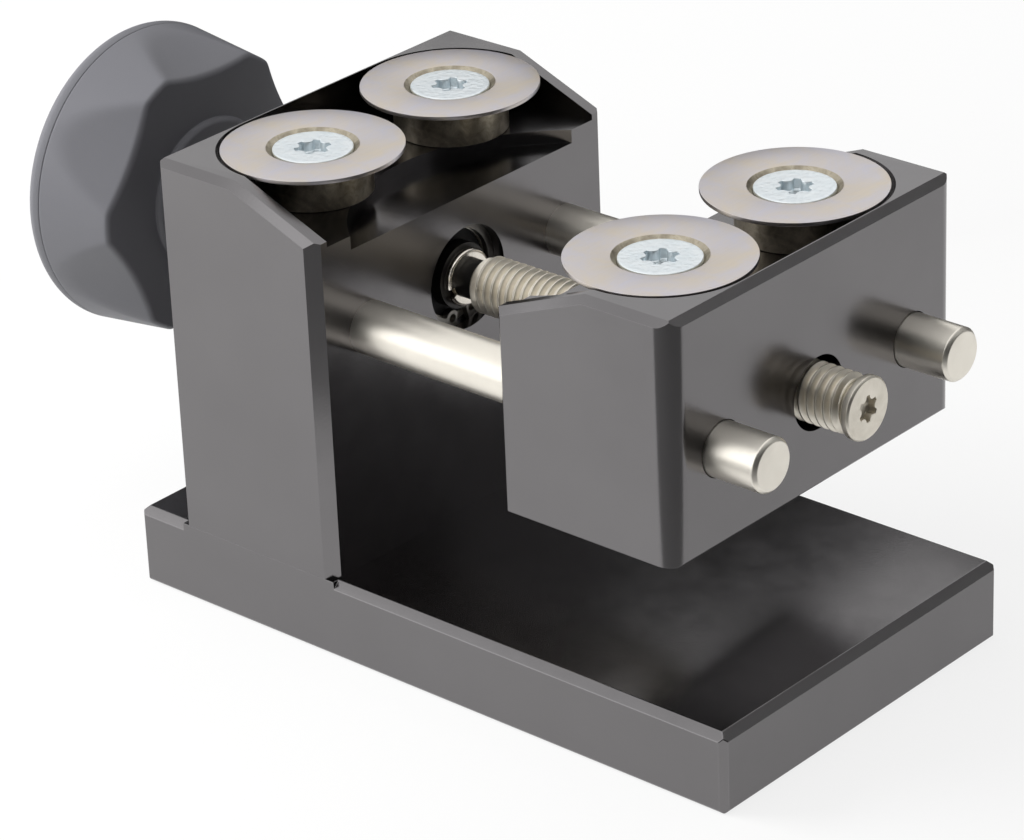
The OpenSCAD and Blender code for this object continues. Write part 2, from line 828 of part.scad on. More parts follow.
module knob_cap() {
    waist_h = knob_h - knob_rim_r;
    seam_h = knob_h - knob_cap_t;
    shoulder_r = knob_rim_d / 2 - knob_rim_r;
    color(black)
    union() {
        on_knob()
            rotate_extrude()
                union() {
                    polygon([
                        [0, seam_h], [knob_cone_r(seam_h), seam_h], [knob_rim_d / 2, waist_h],
                        [shoulder_r, waist_h], [shoulder_r, knob_h], [0, knob_h],
                    ]);
                    translate([shoulder_r, waist_h])
                        intersection() {
                            circle(r = knob_rim_r, $fn = 48);
                            square(knob_rim_r);
                        }
                }
        bar_x(knob_seam_x - over, knob_seam_x + cap_spigot_l, cap_spigot_d / 2);
    }
}

module moving_jaw() {
    half_w = moving_jaw_w / 2;
    block_h = jaw_top_z - moving_jaw_z;
    color(black)
    difference() {
        translate([moving_gap_x, 0, 0])
            difference() {
                intersection() {
                    jaw_side(moving_jaw_w, moving_jaw_z, moving_foot_chamfer);
                    // Plan with chamfers at the gap and rounded edges at the front
                    translate([0, 0, moving_jaw_z - over])
                        linear_extrude(block_h + 2 * over)
                            union() {
                                polygon([
                                    [moving_gap_chamfer, -half_w],
                                    [jaw_t - moving_front_r, -half_w],
                                    [jaw_t - moving_front_r, half_w],
                                    [moving_gap_chamfer, half_w],
                                    [0, half_w - moving_gap_chamfer],
                                    [0, -half_w + moving_gap_chamfer],
                                ]);
                                translate([jaw_t - 2 * moving_front_r, -half_w + moving_front_r])
                                    square([2 * moving_front_r, moving_jaw_w - 2 * moving_front_r]);
                                for (side = [-1, 1])
                                    translate([jaw_t - moving_front_r, side * (half_w - moving_front_r)])
                                        circle(r = moving_front_r);
                            }
                }
                jaw_side_chamfers(moving_jaw_w);
                jaw_pocket();
                jaw_disc_holes();
            }
        for (side = [-1, 1]) {
            bar_x(moving_gap_x - over, moving_front_x - rod_bush_inset, rod_bush_r, side * rod_y);
            bar_x(moving_gap_x - over, moving_front_x + over, rod_r + rod_wall_gap, side * rod_y);
        }
        bar_x(moving_gap_x - over, moving_gap_x + nut_inset + nut_l, nut_d / 2);
        bar_x(moving_gap_x + nut_inset, moving_front_x + over, front_hole_d / 2);
        translate([nut_mid_x, 0, moving_jaw_z - over])
            cylinder(d = grub_d, h = spindle_z - moving_jaw_z);
    }
}

// A rod bush at the gap end or the front end of the moving jaw
module guide_bush(side, at_front) {
    gap_end_x = moving_gap_x + rod_bush_inset;
    front_end_x = moving_front_x - rod_bush_inset - rod_bush_l;
    x = at_front ? front_end_x : gap_end_x;
    color(bronze)
    ring_x(x, x + rod_bush_l, rod_bush_r, rod_r + run_gap, side * rod_y);
}

module lead_nut() {
    nut_x = moving_gap_x + nut_inset;
    color(bronze)
    ring_x(nut_x, nut_x + nut_l, nut_d / 2, thread_d / 2 + run_gap);
}

module nut_grub_screw() {
    color(dark)
    translate([nut_mid_x, 0, spindle_z - nut_d / 2 - grub_l])
        grub_screw();
}

// A flanged disc on its hub, centred at x, y
module disc(x, y) {
    disc_h = disc_top_z - pocket_z;
    hub_r = disc_hub_d / 2;
    hole_r = disc_screw_d / 2 + screw_gap;
    sink_r = disc_sink_d / 2;
    color(ground_steel)
    translate([x, y, pocket_z])
        rotate_extrude()
            polygon([
                [hole_r, 0], [hub_r, 0], [hub_r, disc_h - disc_root_t],
                [disc_r, disc_h - disc_rim_t], [disc_r, disc_h], [sink_r, disc_h],
                [hole_r, disc_h - sink_r + hole_r],
            ]);
}

// The two countersunk screws of a jaw's discs, at x
module disc_screws(x) {
    head_r = disc_screw_head_d / 2;
    thread_r = disc_screw_d / 2;
    cone_h = head_r - thread_r;
    top = disc_screw_l;
    color(zinc)
    for (side = [-1, 1])
        translate([x, side * disc_y, disc_screw_tip_z])
            difference() {
                rotate_extrude()
                    polygon([
                        [0, 0], [thread_r, 0], [thread_r, top - disc_head_land - cone_h],
                        [head_r, top - disc_head_land], [head_r, top], [0, top],
                    ]);
                translate([0, 0, top - disc_screw_recess_depth])
                    linear_extrude(disc_screw_recess_depth + over)
                        lobed_outline(disc_screw_recess);
            }
}

fixed_disc_x = fixed_gap_x - disc_setback;
moving_disc_x = moving_gap_x + disc_setback;

base_plate();
base_screws();
base_dowels();
fixed_jaw();
guide_rod(-1);  // guide_rod_near
guide_rod(1);  // guide_rod_far
rod_grub_screws();
bearing_outer_ring();
bearing_inner_ring();
bearing_balls();
bearing_cage();
bearing_seals();
bearing_circlip();
bearing_spacer();
spindle_circlip();
rear_bush();
lead_screw();
end_screw();
distance_sleeve();
knob();
knob_bush();
knob_screw();
knob_cap();
moving_jaw();
guide_bush(-1, false);  // guide_bush_near_inner
guide_bush(-1, true);  // guide_bush_near_outer
guide_bush(1, false);  // guide_bush_far_inner
guide_bush(1, true);  // guide_bush_far_outer
lead_nut();
nut_grub_screw();
disc(fixed_disc_x, -disc_y);  // disc_fixed_near
disc(fixed_disc_x, disc_y);  // disc_fixed_far
disc(moving_disc_x, -disc_y);  // disc_moving_near
disc(moving_disc_x, disc_y);  // disc_moving_far
disc_screws(fixed_disc_x);  // disc_screws_fixed
disc_screws(moving_disc_x);  // disc_screws_moving
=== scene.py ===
# %% [markdown]
# # A dial ring remover, dressed for its portrait
#
# This bench tool lifts the ring round a watch dial. A black base plate carries a fixed jaw, and
# a second jaw slides towards it on two steel rods when the knob turns the lead screw. The CAD
# model already has every part at its true size, so this lesson only gives the parts their looks.
# The imported model is loaded as a frame that never moves. Blender starts with a cube, a lamp
# and a camera of its own, so those are cleared first.

import json
import math

import bmesh
import bpy
import numpy as np
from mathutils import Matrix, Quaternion, Vector

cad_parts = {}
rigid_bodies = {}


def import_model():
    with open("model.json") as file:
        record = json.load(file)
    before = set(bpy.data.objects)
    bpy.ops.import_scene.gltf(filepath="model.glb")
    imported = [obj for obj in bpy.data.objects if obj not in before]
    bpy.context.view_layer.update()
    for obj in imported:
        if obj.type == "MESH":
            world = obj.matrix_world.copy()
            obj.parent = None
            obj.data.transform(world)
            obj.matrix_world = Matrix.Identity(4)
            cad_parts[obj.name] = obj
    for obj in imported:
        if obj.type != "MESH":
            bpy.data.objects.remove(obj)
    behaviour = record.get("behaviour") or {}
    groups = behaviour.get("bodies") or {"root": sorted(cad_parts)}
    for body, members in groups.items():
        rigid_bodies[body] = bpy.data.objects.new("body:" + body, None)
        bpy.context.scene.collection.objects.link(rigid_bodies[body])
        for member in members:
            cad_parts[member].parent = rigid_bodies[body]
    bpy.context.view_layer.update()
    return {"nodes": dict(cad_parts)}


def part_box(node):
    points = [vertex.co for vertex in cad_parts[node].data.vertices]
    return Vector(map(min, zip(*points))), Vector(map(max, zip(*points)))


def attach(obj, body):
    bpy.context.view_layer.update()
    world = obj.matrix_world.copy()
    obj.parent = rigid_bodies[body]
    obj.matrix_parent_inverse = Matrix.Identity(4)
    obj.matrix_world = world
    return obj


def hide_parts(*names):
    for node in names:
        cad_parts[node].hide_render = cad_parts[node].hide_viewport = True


for leftover in list(bpy.data.objects):
    bpy.data.objects.remove(leftover)
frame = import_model()
MM = 0.001

# %% [markdown]
# ## The camera
#
# The photo was taken with a long lens, slightly tilted. Its place was worked out together with
# the tool's proportions, from edges and circles in the photo. A long lens keeps parallel edges
# nearly parallel, which is why product photos use one. The roll turns the camera about its own
# line of sight.

# %% Place the camera
scene = bpy.context.scene
CAMERA_TARGET = Vector((50.228, -64.805, 71.657)) * MM
CAMERA_DISTANCE = 541.935 * MM
CAMERA_AZIMUTH = math.radians(-47.759)
CAMERA_ELEVATION = math.radians(26.295)
CAMERA_ROLL = math.radians(-2.426)

towards_camera = Vector((
    math.cos(CAMERA_ELEVATION) * math.cos(CAMERA_AZIMUTH),
    math.cos(CAMERA_ELEVATION) * math.sin(CAMERA_AZIMUTH),
    math.sin(CAMERA_ELEVATION),
))
camera_data = bpy.data.cameras.new("camera")
camera_data.sensor_width = 36
camera_data.lens = 152.9
camera_data.clip_start = 0.02
camera_data.clip_end = 20
camera = bpy.data.objects.new("camera", camera_data)
camera.location = CAMERA_TARGET + CAMERA_DISTANCE * towards_camera
camera.rotation_mode = "QUATERNION"
camera.rotation_quaternion = (
    (-towards_camera).to_track_quat("-Z", "Y") @ Quaternion((0, 0, 1), CAMERA_ROLL)
)
scene.collection.objects.link(camera)
scene.camera = camera
scene.view_settings.view_transform = "Standard"
print("camera at", [round(v / MM, 1) for v in camera.location], "mm")

# %% [markdown]
# ## Small helpers for materials
#
# Colours are written as the sRGB hex codes that a paint program shows, while a renderer adds
# light in linear values. One function turns the first into the second. Another one adds a node,
# sets its inputs and links it, so that a whole material reads as a short list. The tool's own
# materials all end in the same way: two tones, a roughness that follows a noise, a shallow
# relief, and one shader that takes them all. So that end is written once.

# %% Helpers for colours and nodes
def srgb(code):
    """Turns an sRGB hex colour into linear red, green, blue and alpha."""
    channels = [int(code[i:i + 2], 16) / 255 for i in (1, 3, 5)]
    linear = [c / 12.92 if c <= 0.04045 else ((c + 0.055) / 1.055) ** 2.4 for c in channels]
    return (*linear, 1)


def add_node(tree, kind, inputs=None, **settings):
    """Adds a node. An input is a value to set or another node's socket to link from."""
    made = tree.nodes.new("ShaderNode" + kind)
    for name, value in settings.items():
        setattr(made, name, value)
    for name, value in (inputs or {}).items():
        if isinstance(value, bpy.types.NodeSocket):
            tree.links.new(value, made.inputs[name])
        else:
            made.inputs[name].default_value = value
    return made


def start_material(name):
    """Gives an empty material, its node tree and the coordinates of the piece that wears it."""
    material = bpy.data.materials.new(name)
    material.use_nodes = True
    tree = material.node_tree
    tree.nodes.clear()
    return material, tree, add_node(tree, "TexCoord").outputs["Object"]


def per_mm(size):
    """Scale of a texture whose pattern repeats about once in this many millimetres."""
    return 1 / (size * MM)


print("the grey #808080 is", round(srgb("#808080")[0], 3), "in linear light")


# %% The end of a material
NOISE_MOSTLY = (0.3, 0.7)


def end_in_shader(tree, fixed, tone_by, tones, rough_by, roughness, height, strength, depth_mm):
    """Mixes two tones by one pattern and two roughnesses by another, turns a height pattern of
    some depth into a relief, and links it all to a shader. Fixed values are set on the shader."""
    # The Mix node's colours are its inputs 6 and 7, and its output 2
    tone = add_node(tree, "Mix", {0: tone_by, 6: srgb(tones[0]), 7: srgb(tones[1])},
                    data_type="RGBA")
    rough = add_node(tree, "MapRange", {
        "Value": rough_by, "From Min": NOISE_MOSTLY[0], "From Max": NOISE_MOSTLY[1],
        "To Min": roughness[0], "To Max": roughness[1]})
    relief = add_node(tree, "Bump", {"Height": height, "Strength": strength,
                                     "Distance": depth_mm * MM})
    shader = add_node(tree, "BsdfPrincipled", {
        "Base Color": tone.outputs[2], "Roughness": rough.outputs["Result"],
        "Normal": relief.outputs["Normal"], **fixed})
    add_node(tree, "OutputMaterial", {"Surface": shader.outputs["BSDF"]})


print("roughness follows a noise between", NOISE_MOSTLY[0], "and", NOISE_MOSTLY[1])

# %% [markdown]
# ## Black anodised aluminium
#
# The plate and the jaws are milled aluminium that was etched matt and anodised black. The dye
# sits in a thin hard layer of clear oxide, so the surface is dark by itself and its grey comes
# from what it mirrors softly. That is why the sides look light in a white studio while the
# pockets stay black. The etched grain is finer than a pixel, so it is drawn at 0.35 mm here.

# %% Anodised aluminium
def anodised_aluminium(name, colours, roughness):
    """Dyed oxide over metal: two close tones in clouds, an etched grain, and handling marks."""
    material, tree, place = start_material(name)
    cloud = add_node(tree, "TexNoise", {"Vector": place, "Scale": per_mm(14), "Detail": 3.0})
    grain = add_node(tree, "TexNoise", {"Vector": place, "Scale": per_mm(0.35), "Detail": 2.0})
    handling = add_node(tree, "TexNoise", {"Vector": place, "Scale": per_mm(5), "Detail": 4.0,
                                           "Roughness": 0.6})
    end_in_shader(tree, {"Metallic": 1.0}, tone_by=cloud.outputs["Fac"], tones=colours,
                  rough_by=handling.outputs["Fac"], roughness=roughness,
                  height=grain.outputs["Fac"], strength=0.25, depth_mm=0.02)
    return material


anodised = anodised_aluminium("anodised_aluminium_black", ("#747273", "#7b797a"), (0.17, 0.22))
rubbed_edge = anodised_aluminium("anodised_aluminium_rubbed_edge", ("#787677", "#807e7f"),
                                 (0.2, 0.25))
print("made", anodised.name, "and", rubbed_edge.name)


# %% [markdown]
# ## Steels
#
# Eight finishes of steel are needed, such as surface-ground discs, centreless-ground rods, a
# rolled thread and zinc-plated screws. They are all metal with little colour, and they differ in
# how the light smears. Grinding leaves fine parallel lines, so a ground steel gets a noise that
# is stretched along them. Real lines are finer than a pixel, so the narrowest are drawn 0.15 mm
# wide. The discs' hubs get broader streaks down their sides, and the plated, phosphated and
# blackened ones an even grain. One function builds them all from what differs.

# %% Ground and plated steel
def worked_steel(name, colours, tint_mm, roughness, lines_mm, depth_mm, speckle_mm=0.0):
    """A metal with two tints, and fine lines whose size along X, Y and Z is given in mm."""
    material, tree, place = start_material(name)
    tint = add_node(tree, "TexNoise", {"Vector": place, "Scale": per_mm(tint_mm), "Detail": 4.0,
                                       "Roughness": 0.62, "Distortion": 0.6})
    spread = add_node(tree, "MapRange", {"Value": tint.outputs["Fac"], "From Min": 0.33,
                                         "From Max": 0.67})
    stretch = add_node(tree, "Mapping", {"Vector": place,
                                         "Scale": tuple(per_mm(size) for size in lines_mm)})
    lines = add_node(tree, "TexNoise", {"Vector": stretch.outputs["Vector"], "Scale": 1.0,
                                        "Detail": 3.0, "Roughness": 0.7})
    height = lines.outputs["Fac"]
    if speckle_mm:
        speckle = add_node(tree, "TexVoronoi", {"Vector": place, "Scale": per_mm(speckle_mm)})
        height = add_node(tree, "Math", {0: height, 1: speckle.outputs["Distance"]},
                          operation="ADD").outputs["Value"]
    end_in_shader(tree, {"Metallic": 1.0}, tone_by=spread.outputs["Result"], tones=colours,
                  rough_by=lines.outputs["Fac"], roughness=roughness,
                  height=height, strength=0.5, depth_mm=depth_mm)
    return material


disc_steel = worked_steel("tool_steel_surface_ground", ("#d0c6b8", "#c8c5cc"), 7,
                          (0.3, 0.42), (0.15, 6, 6), 0.012)
turned_steel = worked_steel("tool_steel_turned", ("#c4bba8", "#8f8777"), 1.8,
                            (0.34, 0.46), (0.5, 0.5, 9), 0.02)
rod_steel = worked_steel("steel_centreless_ground", ("#f7f2e7", "#f0ebe0"), 9,
                         (0.33, 0.42), (4, 4, 0.16), 0.006)
thread_steel = worked_steel("steel_rolled_thread", ("#efe9dd", "#e2dccf"), 3,
                            (0.38, 0.5), (2, 2, 0.3), 0.008)
spring_steel = worked_steel("spring_steel_polished", ("#efe9de", "#e4ded3"), 2,
                            (0.14, 0.24), (0.5, 0.5, 0.3), 0.006)
grey_steel = worked_steel("steel_phosphated_grey", ("#a19e99", "#94918c"), 2,
                          (0.4, 0.52), (0.5, 0.5, 0.5), 0.01)
zinc_steel = worked_steel("steel_zinc_plated_blue", ("#eef3f5", "#e4ecf0"), 2.5,
                          (0.3, 0.45), (0.5, 0.5, 0.5), 0.11, speckle_mm=0.8)
# Besides the blackened parts, this dark steel is laid on the spindle's neck as painted shade
dark_steel = worked_steel("steel_blackened_and_painted_shade", ("#4a4948", "#3d3c3b"), 3,
                          (0.35, 0.5), (0.5, 0.5, 0.5), 0.01)
print("made eight steels")


# %% [markdown]
# ## Bronze, rubber and the knob's plastic
#
# The sliding bushes and the nut are sintered bronze, a warm metal with a fine open grain. The
# bearing's seals are rubber, which is dark and dull. The knob is moulded glass-filled plastic
# with a spark-eroded texture: a dark grey that scatters most of its light, with a broad soft
# sheen. Such a texture's grit is too fine to show from here, so it is drawn at 0.25 mm.

# %% Bronze
bearing_bronze = worked_steel("bronze_sintered", ("#a98f68", "#93795a"), 2,
                              (0.38, 0.5), (0.3, 0.3, 0.3), 0.02)
print("made", bearing_bronze.name)


# %% Rubber and plastic
def moulded(name, colours, roughness, grit_mm, depth_mm, ior):
    """A moulded material: two close tones in soft clouds, and a gritty surface."""
    material, tree, place = start_material(name)
    cloud = add_node(tree, "TexNoise", {"Vector": place, "Scale": per_mm(9), "Detail": 3.0})
    grit = add_node(tree, "TexNoise", {"Vector": place, "Scale": per_mm(grit_mm), "Detail": 3.0})
    end_in_shader(tree, {"Metallic": 0.0, "IOR": ior}, tone_by=cloud.outputs["Fac"],
                  tones=colours, rough_by=cloud.outputs["Fac"], roughness=roughness,
                  height=grit.outputs["Fac"], strength=0.5, depth_mm=depth_mm)
    return material


knob_plastic = moulded("polyamide_glass_filled_moulded", ("#68686d", "#6e6e73"),
                       (0.5, 0.6), 0.25, 0.03, 1.53)
seal_rubber = moulded("nitrile_rubber", ("#232324", "#2b2b2c"), (0.6, 0.7), 0.2, 0.02, 1.52)
print("made", knob_plastic.name, "and", seal_rubber.name)


# %% [markdown]
# ## Turning outlines into round pieces
#
# Nearly everything round on this tool came off a lathe. A lathe piece is an outline, in radius
# and height, that is turned about an axis. Blender's Screw modifier could do that, but some
# pieces here also have lobes or flats. So each piece is a stack of rings of points, and one
# function skins the stack with four-sided faces. Real corners are never perfectly sharp, and a
# rounded one catches the light, so the outline's corners are rounded first.

# %% Rings, outlines and skins
def rounded(outline, radius, steps=3):
    """Rounds an outline of (radius, height) corners in mm. A third number is a corner's own
    rounding. Two roundings on one side never meet, as each takes at most 0.45 of it."""
    points = [np.array(outline[0][:2], float)]
    for before, corner, after in zip(outline, outline[1:], outline[2:]):
        middle = np.array(corner[:2], float)
        back = np.array(before[:2], float) - middle
        ahead = np.array(after[:2], float) - middle
        reach = min(corner[2] if len(corner) > 2 else radius,
                    0.45 * np.linalg.norm(back), 0.45 * np.linalg.norm(ahead))
        start = middle + back / np.linalg.norm(back) * reach
        end = middle + ahead / np.linalg.norm(ahead) * reach
        for t in np.linspace(0, 1, steps + 1):
            points.append((1 - t) ** 2 * start + 2 * t * (1 - t) * middle + t ** 2 * end)
    points.append(np.array(outline[-1][:2], float))
    return points


def angles(count):
    """Evenly spaced angles, once round."""
    return np.arange(count) * 2 * math.pi / count


def ring(radius, height, turn):
    """A ring of points in mm. Radius and height may differ from point to point."""
    radius = radius + 0 * turn
    return np.column_stack([radius * np.cos(turn), radius * np.sin(turn), height + 0 * turn])


def skinned(rings, joined=False):
    """Gives the points and faces of a skin over a stack of rings. A joined stack closes on
    itself, and an open one gets a lid at each end."""
    count = len(rings[0])
    points = np.concatenate(rings)
    faces = []
    for i in range(len(rings) - (0 if joined else 1)):
        a = i * count
        b = (i + 1) % len(rings) * count
        faces += [(a + j, a + (j + 1) % count, b + (j + 1) % count, b + j) for j in range(count)]
    if not joined:
        last = len(points) - count
        faces += [tuple(range(count - 1, -1, -1)), tuple(range(last, last + count))]
    return points, faces


def turned(outline, segments=96, joined=False):
    """Turns an outline of (radius, height) points once round."""
    turn = angles(segments)
    return skinned([ring(r, h, turn) for r, h in outline], joined)


print("an outline of 3 points, turned, gives", len(turned([(1, 0), (2, 1), (1, 2)])[1]), "faces")

# %% From points to a piece on its body
ALONG_X = Quaternion((0, 1, 0), math.radians(90))
ALONG_MINUS_X = Quaternion((0, 1, 0), math.radians(-90))


def new_piece(name, shapes, at, material, body, nodes, axis=None, sharp=28):
    """Makes one object from (points, faces) pairs in mm, and puts it on its body in place of
    CAD nodes. The piece's own Z runs along its axis."""
    bm = bmesh.new()
    for points, faces in shapes:
        made = [bm.verts.new(Vector(p) * MM) for p in points]
        for face in faces:
            bm.faces.new([made[i] for i in face])
    bmesh.ops.recalc_face_normals(bm, faces=bm.faces)
    return place_piece(name, bm, at, material, body, nodes, axis, sharp)


def place_piece(name, bm, at, material, body, nodes, axis=None, sharp=28):
    """Turns a finished bmesh into an object. Edges over the sharp angle, in degrees, stay
    crisp, and the others are shaded smooth."""
    mesh = bpy.data.meshes.new(name)
    bm.to_mesh(mesh)
    bm.free()
    mesh.shade_smooth()
    mesh.set_sharp_from_angle(angle=math.radians(sharp))
    mesh.materials.append(material)
    piece = bpy.data.objects.new(name, mesh)
    scene.collection.objects.link(piece)
    piece.location = Vector(at) * MM
    piece.rotation_mode = "QUATERNION"
    piece.rotation_quaternion = axis or Quaternion()
    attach(piece, body)
    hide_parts(*nodes)
    print(f"{name}: {len(mesh.polygons)} faces")
    return piece


def corners(node):
    """A CAD node's lowest and highest corner in mm."""
    low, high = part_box(node)
    return np.array(low) / MM, np.array(high) / MM


print("base plate's corners in mm:", *(corner.round(2) for corner in corners("base_plate")))

# %% [markdown]
# ## Softened edges on the milled pieces
#
# A milled edge is broken with a file or a fine chamfer, so it never looks like a knife edge. A
# Bevel modifier could round every edge, but it would also catch the small facets inside holes.
# Here the CAD mesh is copied, its flat triangles are merged, and only the edges that really
# turn a corner are bevelled by a fraction of a millimetre.

# %% Copy a CAD node with broken edges
REAL_CORNER = math.radians(24)


def softened(node, name, width, material, body, segments=3, edge_material=None):
    """Stands a copy of a CAD node, with its sharp edges rounded by a width in mm, in its place.
    The rounded edges may have a material of their own."""
    bm = bmesh.new()
    bm.from_mesh(frame["nodes"][node].data)
    bmesh.ops.remove_doubles(bm, verts=bm.verts, dist=0.0005 * MM)
    bmesh.ops.dissolve_limit(bm, angle_limit=math.radians(0.3), verts=bm.verts, edges=bm.edges)
    sharp = [e for e in bm.edges
             if len(e.link_faces) == 2 and e.calc_face_angle(0) > REAL_CORNER]
    for face in bm.faces:
        face.material_index = 0
    bmesh.ops.bevel(bm, geom=sharp, offset=width * MM, segments=segments, profile=0.5,
                    affect="EDGES", clamp_overlap=True, material=1 if edge_material else -1)
    bmesh.ops.recalc_face_normals(bm, faces=bm.faces)
    piece = place_piece(name, bm, (0, 0, 0), material, body, [node], sharp=20)
    if edge_material:
        piece.data.materials.append(edge_material)
    even = piece.modifiers.new("even_normals", "WEIGHTED_NORMAL")
    even.mode = "FACE_AREA"
    even.weight = 80
    even.keep_sharp = True


MILLED_EDGE = 0.12
for node, body in (("base_plate", "stand"), ("fixed_jaw", "stand"), ("moving_jaw", "sliding_jaw")):
    softened(node, node + "_broken_edges", MILLED_EDGE, anodised, body,
             edge_material=rubbed_edge)

# %% [markdown]
# ## The guide rods
#
# Each rod is plain, but its end shows: a flat face, a turned chamfer and a small rounding where
# the two meet. Long soft reflections along the rod are what makes it read as ground steel.

# %% Guide rods
SPINDLE_Z = 49.5
ROD_CHAMFER = 0.5
for side in ("near", "far"):
    low, high = corners(f"guide_rod_{side}")
    radius = (high[1] - low[1]) / 2
    length = high[0] - low[0]
    centre = radius * 0.05
    outline = rounded([
        (centre, 0), (radius - ROD_CHAMFER, 0), (radius, ROD_CHAMFER),
        (radius, length - ROD_CHAMFER), (radius - ROD_CHAMFER, length), (centre, length),
    ], 0.15)
    new_piece(f"ground_rod_{side}", [turned(outline)], (low[0], (low[1] + high[1]) / 2, SPINDLE_Z),
              rod_steel, "stand", [f"guide_rod_{side}"], ALONG_X)

# %% [markdown]
# ## The four discs
#
# A disc is a hub with a wide thin flange that slopes up to its rim, and a countersink for its
# screw. Its top is surface ground, which leaves a flat matt face with faint beige and lilac
# tints. The outline is one closed loop, so the stack of rings is joined to itself.

# %% Discs
HUB_R = 8.6
RIM_T = 0.6
ROOT_T = 2.0
HOLE_R = 3.3
SINK_R = 6.8
JAW_BODIES = {"fixed": "stand", "moving": "sliding_jaw"}
for jaw, body in JAW_BODIES.items():
    for side in ("near", "far"):
        node = f"disc_{jaw}_{side}"
        low, high = corners(node)
        disc_r = (high[0] - low[0]) / 2
        top = high[2] - low[2]
        loop = rounded([
            (HOLE_R, 2), (HOLE_R, 0), (HUB_R, 0, 0.3), (HUB_R, top - ROOT_T, 0.5),
            (disc_r, top - RIM_T, 0.12), (disc_r, top, 0.08), (SINK_R, top, 0.12),
            (HOLE_R, top - SINK_R + HOLE_R), (HOLE_R, 2.1),
        ], 0.1)
        disc = new_piece(f"ground_disc_{jaw}_{side}", [turned(loop, 128, joined=True)],
                         ((low[0] + high[0]) / 2, (low[1] + high[1]) / 2, low[2]),
                         disc_steel, body, [node])
        disc.data.materials.append(turned_steel)
        # The hub's side was turned, not ground
        for face in disc.data.polygons:
            middle = face.center / MM
            if math.hypot(middle.x, middle.y) < HUB_R + 0.2 and abs(face.normal.z) < 0.9:
                face.material_index = 1

# %% [markdown]
# ## Screws with a six-lobed recess
#
# The discs' screws and the end screw are driven by a star-shaped bit. Its outline is a circle
# with six round bites out of it. Rings of points blend from the round head to that outline, run
# down the wall of the recess and close on its floor. Cutting the recess with a Boolean would
# work too, but rings give clean faces and a rounded rim.

# %% Lobed recess
BITE_R = 0.17
WAIST_R = 0.36


def lobed(width, turn):
    """Radius of a six-lobed outline of a given width over its lobes, at each angle. The bites'
    radius and the narrowest radius between them are shares of the width."""
    bite_r = BITE_R * width
    bite_at = WAIST_R * width + bite_r
    radius = np.full_like(turn, width / 2)
    for k in range(6):
        off = turn - math.radians(30 + 60 * k)
        inside = bite_r ** 2 - (bite_at * np.sin(off)) ** 2
        hit = (inside > 0) & (np.cos(off) > 0)
        reach = bite_at * np.cos(off) - np.sqrt(np.maximum(inside, 0))
        radius = np.where(hit, np.minimum(radius, reach), radius)
    return radius


def recessed_screw(recess, depth, top, outline, rim=0.1, floor=0.25):
    """A screw whose outline runs from its head's top edge down to its tip, with a recess of a
    width and depth. Its rim is rounded, and its floor sinks a little towards the middle."""
    turn = angles(144)
    star = lobed(recess, turn)
    head_r = outline[0][0]
    bottom = top - depth
    stack = [
        ring(0.12 * recess, bottom - floor, turn),
        ring(0.7 * star, bottom - 0.3 * floor, turn),
        ring(0.94 * star, bottom, turn),
        ring(star, bottom + rim, turn),
        ring(star, top - rim, turn),
        ring(star + 0.35 * rim, top - 0.35 * rim, turn),
        ring(star + rim, top, turn),
        ring(0.5 * (star + head_r), top, turn),
    ]
    return skinned(stack + [ring(r, h, turn) for r, h in outline])


TIP = 0.3
DISC_RECESS = 5.4
DISC_RECESS_DEPTH = 1.6
for jaw, body in JAW_BODIES.items():
    node = f"disc_screws_{jaw}"
    low, high = corners(node)
    length = high[2] - low[2]
    head_r, thread_r, land = 5.9, 3.0, 0.63
    points, faces = recessed_screw(DISC_RECESS, DISC_RECESS_DEPTH, length, rounded([
        (head_r - 0.6, length), (head_r, length, 0.22), (head_r, length - land),
        (thread_r, length - land - head_r + thread_r), (thread_r, 0.5), (thread_r - 0.5, 0),
        (TIP, 0),
    ], 0.1))
    spread = (high[1] - low[1]) / 2 - head_r
    pair = [(points + np.array([0, way * spread, 0]), faces) for way in (-1, 1)]
    new_piece(f"countersunk_screws_{jaw}", pair, ((low[0] + high[0]) / 2, 0, low[2]),
              zinc_steel, body, [node])

END_RECESS = 4.0
END_RECESS_DEPTH = 1.2
low, high = corners("end_screw")
length = high[0] - low[0]
head_r, shank_r, head_t = 4.7, 2.0, 1.3
front_chamfer, back_chamfer, tip_chamfer = 0.28, 0.2, 0.3
outline = rounded([
    (head_r - 0.5, length), (head_r - front_chamfer, length, 0.08),
    (head_r, length - front_chamfer, 0.08), (head_r, length - head_t + back_chamfer),
    (head_r - back_chamfer, length - head_t), (shank_r, length - head_t),
    (shank_r, tip_chamfer), (shank_r - tip_chamfer, 0), (TIP, 0),
], 0.06)
end_screw = recessed_screw(END_RECESS, END_RECESS_DEPTH, length, outline, rim=0.08, floor=0.12)
new_piece("low_head_end_screw", [end_screw], (low[0], 0, SPINDLE_Z), thread_steel, "spindle",
          ["end_screw"], ALONG_X)

# %% [markdown]
# ## The lead screw and its thread
#
# The spindle has a right-hand V thread with a 1.4 mm pitch. A plain cylinder with a bump texture
# would look flat at its outline, so the thread is real geometry: the tooth's profile is swept
# along a helix, and each turn ends where the next begins. The ends are cut square, and a cone
# trims the first and last turn, as a lathe tool does. The dark neck behind it is painted shade:
# a second, dark material on the plain shaft stands in for the shade in the narrow neck.

# %% Lead screw
PITCH = 1.4
THREAD_R = 4.4
TOOTH = 0.8
SHAFT_R = 3.0
THREAD_CHAMFER = 0.7
NECK_SHADE_FROM = -15.8
BORE_R = 2.0
thread_from, thread_to = -12.5, 54.5
spindle_from, spindle_to = corners("lead_screw")[0][0], corners("lead_screw")[1][0]


